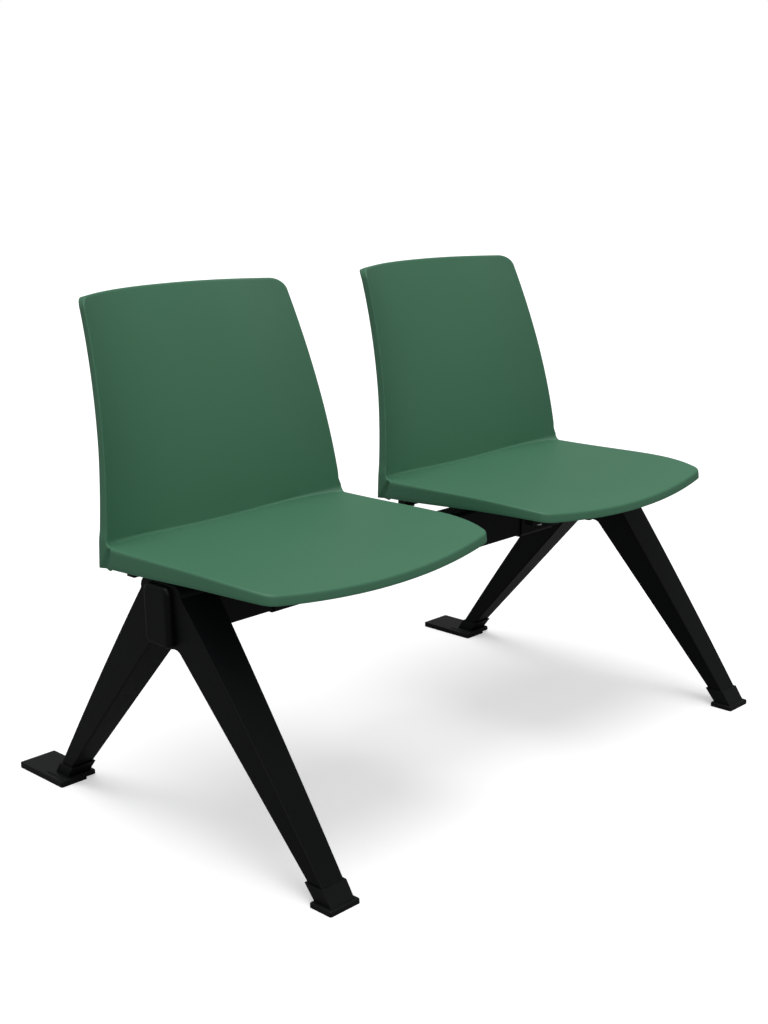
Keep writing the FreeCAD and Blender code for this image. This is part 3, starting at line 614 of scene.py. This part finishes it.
# The beam's end caps get a darker, less rough and less shiny copy of the black moulding.
CAP_PLASTIC = grained_material(
    "black_cap_moulding", (0.0022, 0.0025, 0.0029), (0.0036, 0.0040, 0.0046), (0.34, 0.46),
    (1500.0, 300.0, 0.3), (0.30, 0.0002), 0.16)

PLASTIC_PARTS = ["cross_bar_plugs"]
for side_name in SEAT_PLACES:
    for part in ("front_boot_", "rear_boot_", "rear_foot_plate_"):
        PLASTIC_PARTS.append(part + side_name)
dress(PLASTIC_PARTS, BLACK_PLASTIC)
dress(["beam_end_cap_" + side_name for side_name in SEAT_PLACES], CAP_PLASTIC)


# Screws, bolts, nuts, washers and nut plates
# Zinc-plated steel fasteners with a slightly cloudy surface. Those that hold the brackets and the legs
# to the beam are passivated black.


def metal_material(name, dark, light, rough):
    """A bare or plated metal with the same fine grain."""
    material = grained_material(name, dark, light, rough, (1100.0, 160.0, 0.5), (0.15, 0.0001))
    shader = next(n for n in material.node_tree.nodes if n.type == "BSDF_PRINCIPLED")
    shader.inputs["Metallic"].default_value = 1.0
    return material


ZINC = metal_material("zinc_plate", (0.50, 0.51, 0.53), (0.62, 0.63, 0.64), (0.28, 0.42))
dress(["shell_screws", "front_boot_screws", "rear_foot_screws", "nut_plate_left", "nut_plate_right"], ZINC)
BLACK_ZINC = metal_material("black_zinc_plate", (0.020, 0.021, 0.024), (0.040, 0.042, 0.046), (0.34, 0.48))
dress(["clamp_bolts", "clamp_washers", "clamp_nuts", "leg_bolts", "leg_washers"], BLACK_ZINC)

# Threaded inserts
# Turned brass inserts heat-set into the bosses of the shells.

BRASS = metal_material("turned_brass", (0.52, 0.36, 0.13), (0.68, 0.49, 0.20), (0.25, 0.40))
dress(["shell_inserts"], BRASS)


# Floor
# A plain white floor that runs back to the horizon and keeps the bench's soft shadow.

FLOOR_LIFT = 0.42
FLOOR_SEEN = (0.80, 0.80, 0.80, 1)
FLOOR_FOR_LIGHT = (0.22, 0.22, 0.22, 1)
floor_material = bpy.data.materials.new("white_floor")
floor_material.use_nodes = True
floor_nodes = floor_material.node_tree.nodes
floor_links = floor_material.node_tree.links
floor_nodes.clear()
floor_out = floor_nodes.new("ShaderNodeOutputMaterial")
floor_matt = floor_nodes.new("ShaderNodeBsdfDiffuse")
floor_shade = floor_nodes.new("ShaderNodeMix")
floor_shade.data_type = "RGBA"
floor_shade.inputs[6].default_value = FLOOR_FOR_LIGHT
floor_shade.inputs[7].default_value = FLOOR_SEEN
floor_glow = floor_nodes.new("ShaderNodeEmission")
floor_ray = floor_nodes.new("ShaderNodeLightPath")
floor_gain = floor_nodes.new("ShaderNodeMath")
floor_gain.operation = "MULTIPLY"
floor_gain.inputs[1].default_value = FLOOR_LIFT
floor_sum = floor_nodes.new("ShaderNodeAddShader")
floor_links.new(floor_ray.outputs["Is Camera Ray"], floor_gain.inputs[0])
floor_links.new(floor_ray.outputs["Is Camera Ray"], floor_shade.inputs[0])
floor_links.new(floor_shade.outputs[2], floor_matt.inputs["Color"])
floor_links.new(floor_gain.outputs[0], floor_glow.inputs["Strength"])
floor_links.new(floor_matt.outputs[0], floor_sum.inputs[0])
floor_links.new(floor_glow.outputs[0], floor_sum.inputs[1])
floor_links.new(floor_sum.outputs[0], floor_out.inputs["Surface"])

FLOOR_REACH = 60.0
floor_mesh = bpy.data.meshes.new("floor")
floor_corners = [(-1, -1), (1, -1), (1, 1), (-1, 1)]
floor_places = [(x * FLOOR_REACH, y * FLOOR_REACH, 0) for x, y in floor_corners]
floor_mesh.from_pydata(floor_places, [], [(0, 1, 2, 3)])
floor_mesh.materials.append(floor_material)
floor = bpy.data.objects.new("floor", floor_mesh)
bpy.context.scene.collection.objects.link(floor)

# Light
# A white room: weak soft light from all round, one wide lamp overhead, and a weaker one from the
# left and front.

SKY_FILL = 0.45
SKY_SHEEN = 0.26

world = bpy.data.worlds.new("studio")
bpy.context.scene.world = world
world.use_nodes = True
sky_nodes, sky_links = world.node_tree.nodes, world.node_tree.links
sky_nodes.clear()
sky_out = sky_nodes.new("ShaderNodeOutputWorld")
sky_seen = sky_nodes.new("ShaderNodeBackground")
sky_seen.inputs["Strength"].default_value = 1.0
sky_seen.inputs["Color"].default_value = (1, 1, 1, 1)
sky_fill = sky_nodes.new("ShaderNodeBackground")
sky_fill.inputs["Color"].default_value = (1, 1, 1, 1)
sky_ray = sky_nodes.new("ShaderNodeLightPath")
sky_sheen = sky_nodes.new("ShaderNodeMapRange")
sky_sheen.inputs["To Min"].default_value = SKY_FILL
sky_sheen.inputs["To Max"].default_value = SKY_SHEEN
sky_mix = sky_nodes.new("ShaderNodeMixShader")
sky_links.new(sky_ray.outputs["Is Glossy Ray"], sky_sheen.inputs["Value"])
sky_links.new(sky_sheen.outputs["Result"], sky_fill.inputs["Strength"])
sky_links.new(sky_ray.outputs["Is Camera Ray"], sky_mix.inputs[0])
sky_links.new(sky_fill.outputs[0], sky_mix.inputs[1])
sky_links.new(sky_seen.outputs[0], sky_mix.inputs[2])
sky_links.new(sky_mix.outputs[0], sky_out.inputs["Surface"])


def soft_sun(name, towards, spread, power):
    """A very wide, distant lamp, so that the light is even over the whole floor."""
    lamp = bpy.data.lights.new(name, "SUN")
    lamp.angle = math.radians(spread)
    lamp.energy = power
    holder = bpy.data.objects.new(name, lamp)
    holder.rotation_euler = Vector(towards).to_track_quat("-Z", "Y").to_euler()
    bpy.context.scene.collection.objects.link(holder)


soft_sun("overhead_light", towards=(0.03, 0.00, -1.0), spread=40.0, power=1.50)
soft_sun("front_light", towards=(0.30, 0.70, -0.62), spread=55.0, power=0.46)

# Camera
# It stands to the left in front of the bench at about a metre's height and looks slightly down.

CAMERA_PLACE = (-1.76505, -1.70619, 1.02124)
CAMERA_AZIMUTH = math.radians(-45.22)
CAMERA_ELEVATION = math.radians(14.09)
CAMERA_ROLL = math.radians(-0.96)
IMAGE_WIDTH, IMAGE_HEIGHT = 768, 1024
FOCAL_PIXELS = 1467.8
CENTRE_X, CENTRE_Y = 380.3, 513.7
SENSOR = 36.0

back = Vector((math.sin(CAMERA_AZIMUTH) * math.cos(CAMERA_ELEVATION),
               -math.cos(CAMERA_AZIMUTH) * math.cos(CAMERA_ELEVATION),
               math.sin(CAMERA_ELEVATION)))
level = Vector((math.cos(CAMERA_AZIMUTH), math.sin(CAMERA_AZIMUTH), 0))
upright = back.cross(level)
right = math.cos(CAMERA_ROLL) * level + math.sin(CAMERA_ROLL) * upright
up = -math.sin(CAMERA_ROLL) * level + math.cos(CAMERA_ROLL) * upright
lens = bpy.data.cameras.new("camera")
lens.sensor_fit = "VERTICAL"
lens.sensor_height = SENSOR
lens.lens = FOCAL_PIXELS * SENSOR / IMAGE_HEIGHT
lens.shift_x = (IMAGE_WIDTH / 2 - CENTRE_X) / IMAGE_HEIGHT
lens.shift_y = (CENTRE_Y - IMAGE_HEIGHT / 2) / IMAGE_HEIGHT
lens.clip_end = 200.0
camera = bpy.data.objects.new("camera", lens)
camera.matrix_world = Matrix((
    (right.x, up.x, back.x, CAMERA_PLACE[0]),
    (right.y, up.y, back.y, CAMERA_PLACE[1]),
    (right.z, up.z, back.z, CAMERA_PLACE[2]),
    (0, 0, 0, 1)))
bpy.context.scene.collection.objects.link(camera)
bpy.context.scene.camera = camera
bpy.context.scene.view_settings.view_transform = "Standard"

bpy.context.view_layer.update()
